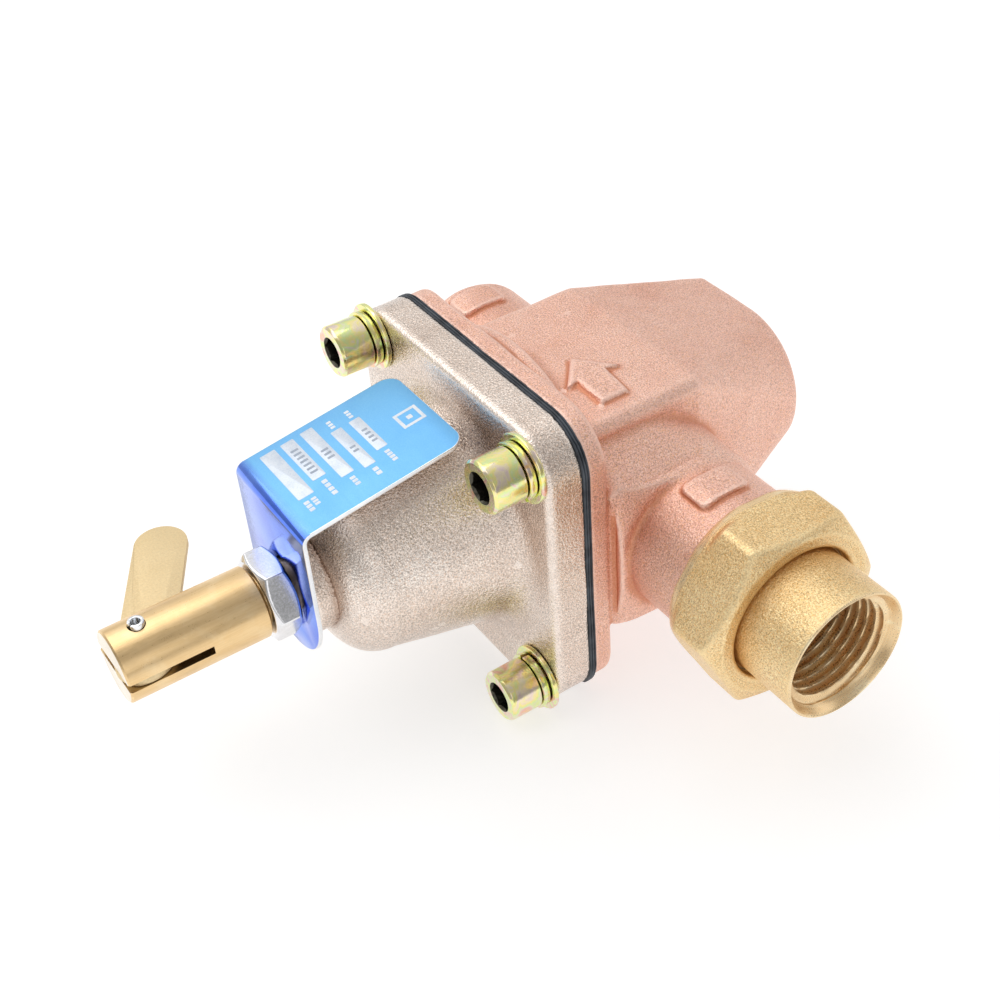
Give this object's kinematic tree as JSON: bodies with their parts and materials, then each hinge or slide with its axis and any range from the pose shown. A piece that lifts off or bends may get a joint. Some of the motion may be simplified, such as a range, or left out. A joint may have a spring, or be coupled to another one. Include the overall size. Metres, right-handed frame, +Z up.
{
  "type": "pressure reducing valve",
  "caption": "In-line pressure reducing valve: cast body with union inlet, square diaphragm bonnet, adjusting screw with lock nut, and a fast-fill lever that holds the valve open.",
  "frame": {"origin": "the centre of the flat closed end, on the axis of the adjusting screw; the inlet and outlet axis crosses the screw axis at x = -0.0383", "axes": "+X runs along the adjusting screw from the lever end to the closed end of the body, +Y is the flow direction from the union to the outlet, +Z is up, the side of the flow arrow"},
  "size_m": [0.1328, 0.1087, 0.06],
  "materials": {
    "cast_bronze": "tumbled sand casting, satin",
    "painted_iron": "cast iron with a pale metallic coating",
    "brass": "machined, satin",
    "cast_brass": "cast and tumbled",
    "steel": "machined",
    "zinc_steel": "yellow zinc plating",
    "spring_steel": "drawn wire",
    "blue_plate": "bright blue printed sheet",
    "rubber": "fabric reinforced rubber",
    "fibre": "compressed fibre gasket",
    "bright_zinc": "bright zinc plating"
  },
  "bodies": {
    "valve_body": {"body": "cast_bronze", "bonnet": "painted_iron", "diaphragm": "rubber", "seat_ring": "brass", "seat_oring": "rubber", "valve_spring": "spring_steel", "bottom_plug": "brass", "plug_oring": "rubber", "range_spring": "spring_steel", "name_plate": "blue_plate", "flange_screw_1": "zinc_steel", "flange_screw_2": "zinc_steel", "flange_screw_3": "zinc_steel", "flange_screw_4": "zinc_steel", "lock_washer_1": "zinc_steel", "lock_washer_2": "zinc_steel", "lock_washer_3": "zinc_steel", "lock_washer_4": "zinc_steel", "flat_washer_1": "zinc_steel", "flat_washer_2": "zinc_steel", "flat_washer_3": "zinc_steel", "flat_washer_4": "zinc_steel", "strainer_screen": "steel", "check_seat": "brass", "check_spring": "spring_steel", "check_retainer": "brass"},
    "screw_carriage": {"spring_button": "zinc_steel"},
    "adjusting_screw": {"adjusting_screw": "brass", "roll_pin": "steel"},
    "lock_nut": {"lock_nut": "bright_zinc"},
    "fast_fill_lever": {"fast_fill_lever": "brass"},
    "fast_fill_plunger": {"fast_fill_plunger": "steel"},
    "valve_train": {"diaphragm_plate_upper": "zinc_steel", "diaphragm_plate_lower": "steel", "diaphragm_nut": "zinc_steel", "valve_stem": "brass", "disc_holder": "brass", "seat_disc": "rubber", "disc_screw": "steel"},
    "check_poppet": {"check_poppet": "brass"},
    "union_tailpiece": {"union_tailpiece": "brass", "union_gasket": "fibre"},
    "union_nut": {"union_nut": "cast_brass"}
  },
  "joints": [
    {"name": "adjusting_screw_advance", "type": "slide", "parent": "valve_body", "child": "screw_carriage", "axis": [-1, 0, 0], "range_m": [0, 0.0052], "deforming": ["range_spring"]},
    {"name": "adjusting_screw_turn", "type": "hinge", "parent": "screw_carriage", "child": "adjusting_screw", "pos_m": [-0.1183, 0, 0], "axis": [-1, 0, 0], "range_deg": [0, 1000]},
    {"name": "lock_nut_turn", "type": "hinge", "parent": "valve_body", "child": "lock_nut", "pos_m": [-0.1043, 0, 0], "axis": [-1, 0, 0], "range_deg": [0, 90]},
    {"name": "fast_fill_lever_swing", "type": "hinge", "parent": "adjusting_screw", "child": "fast_fill_lever", "pos_m": [-0.1272, 0, 0], "axis": [0, 0, 1], "range_deg": [0, 120]},
    {"name": "fast_fill_plunger_push", "type": "slide", "parent": "adjusting_screw", "child": "fast_fill_plunger", "axis": [1, 0, 0], "range_m": [0, 0.003]},
    {"name": "valve_opening", "type": "slide", "parent": "valve_body", "child": "valve_train", "axis": [1, 0, 0], "range_m": [0, 0.0023], "deforming": ["valve_spring", "diaphragm"]},
    {"name": "check_poppet_lift", "type": "slide", "parent": "valve_body", "child": "check_poppet", "axis": [0, 1, 0], "range_m": [0, 0.0025], "stiffness_N_per_m": 120, "springref_m": -0.003, "deforming": ["check_spring"]},
    {"name": "union_travel", "type": "slide", "parent": "valve_body", "child": "union_tailpiece", "axis": [0, -1, 0], "range_m": [0, 0.0072]},
    {"name": "union_nut_turn", "type": "hinge", "parent": "union_tailpiece", "child": "union_nut", "pos_m": [-0.0383, -0.05, 0], "axis": [0, -1, 0], "range_deg": [0, 1440]}
  ],
  "couplings": [
    {"joint": "adjusting_screw_advance", "follows": "adjusting_screw_turn", "m_per_rad": 0.00025266},
    {"joint": "fast_fill_plunger_push", "follows": "fast_fill_lever_swing", "m_per_rad": 0.0011937},
    {"joint": "valve_opening", "follows": "fast_fill_lever_swing", "m_per_rad": 0.00085944},
    {"joint": "union_travel", "follows": "union_nut_turn", "m_per_rad": 0.00025266}
  ]
}
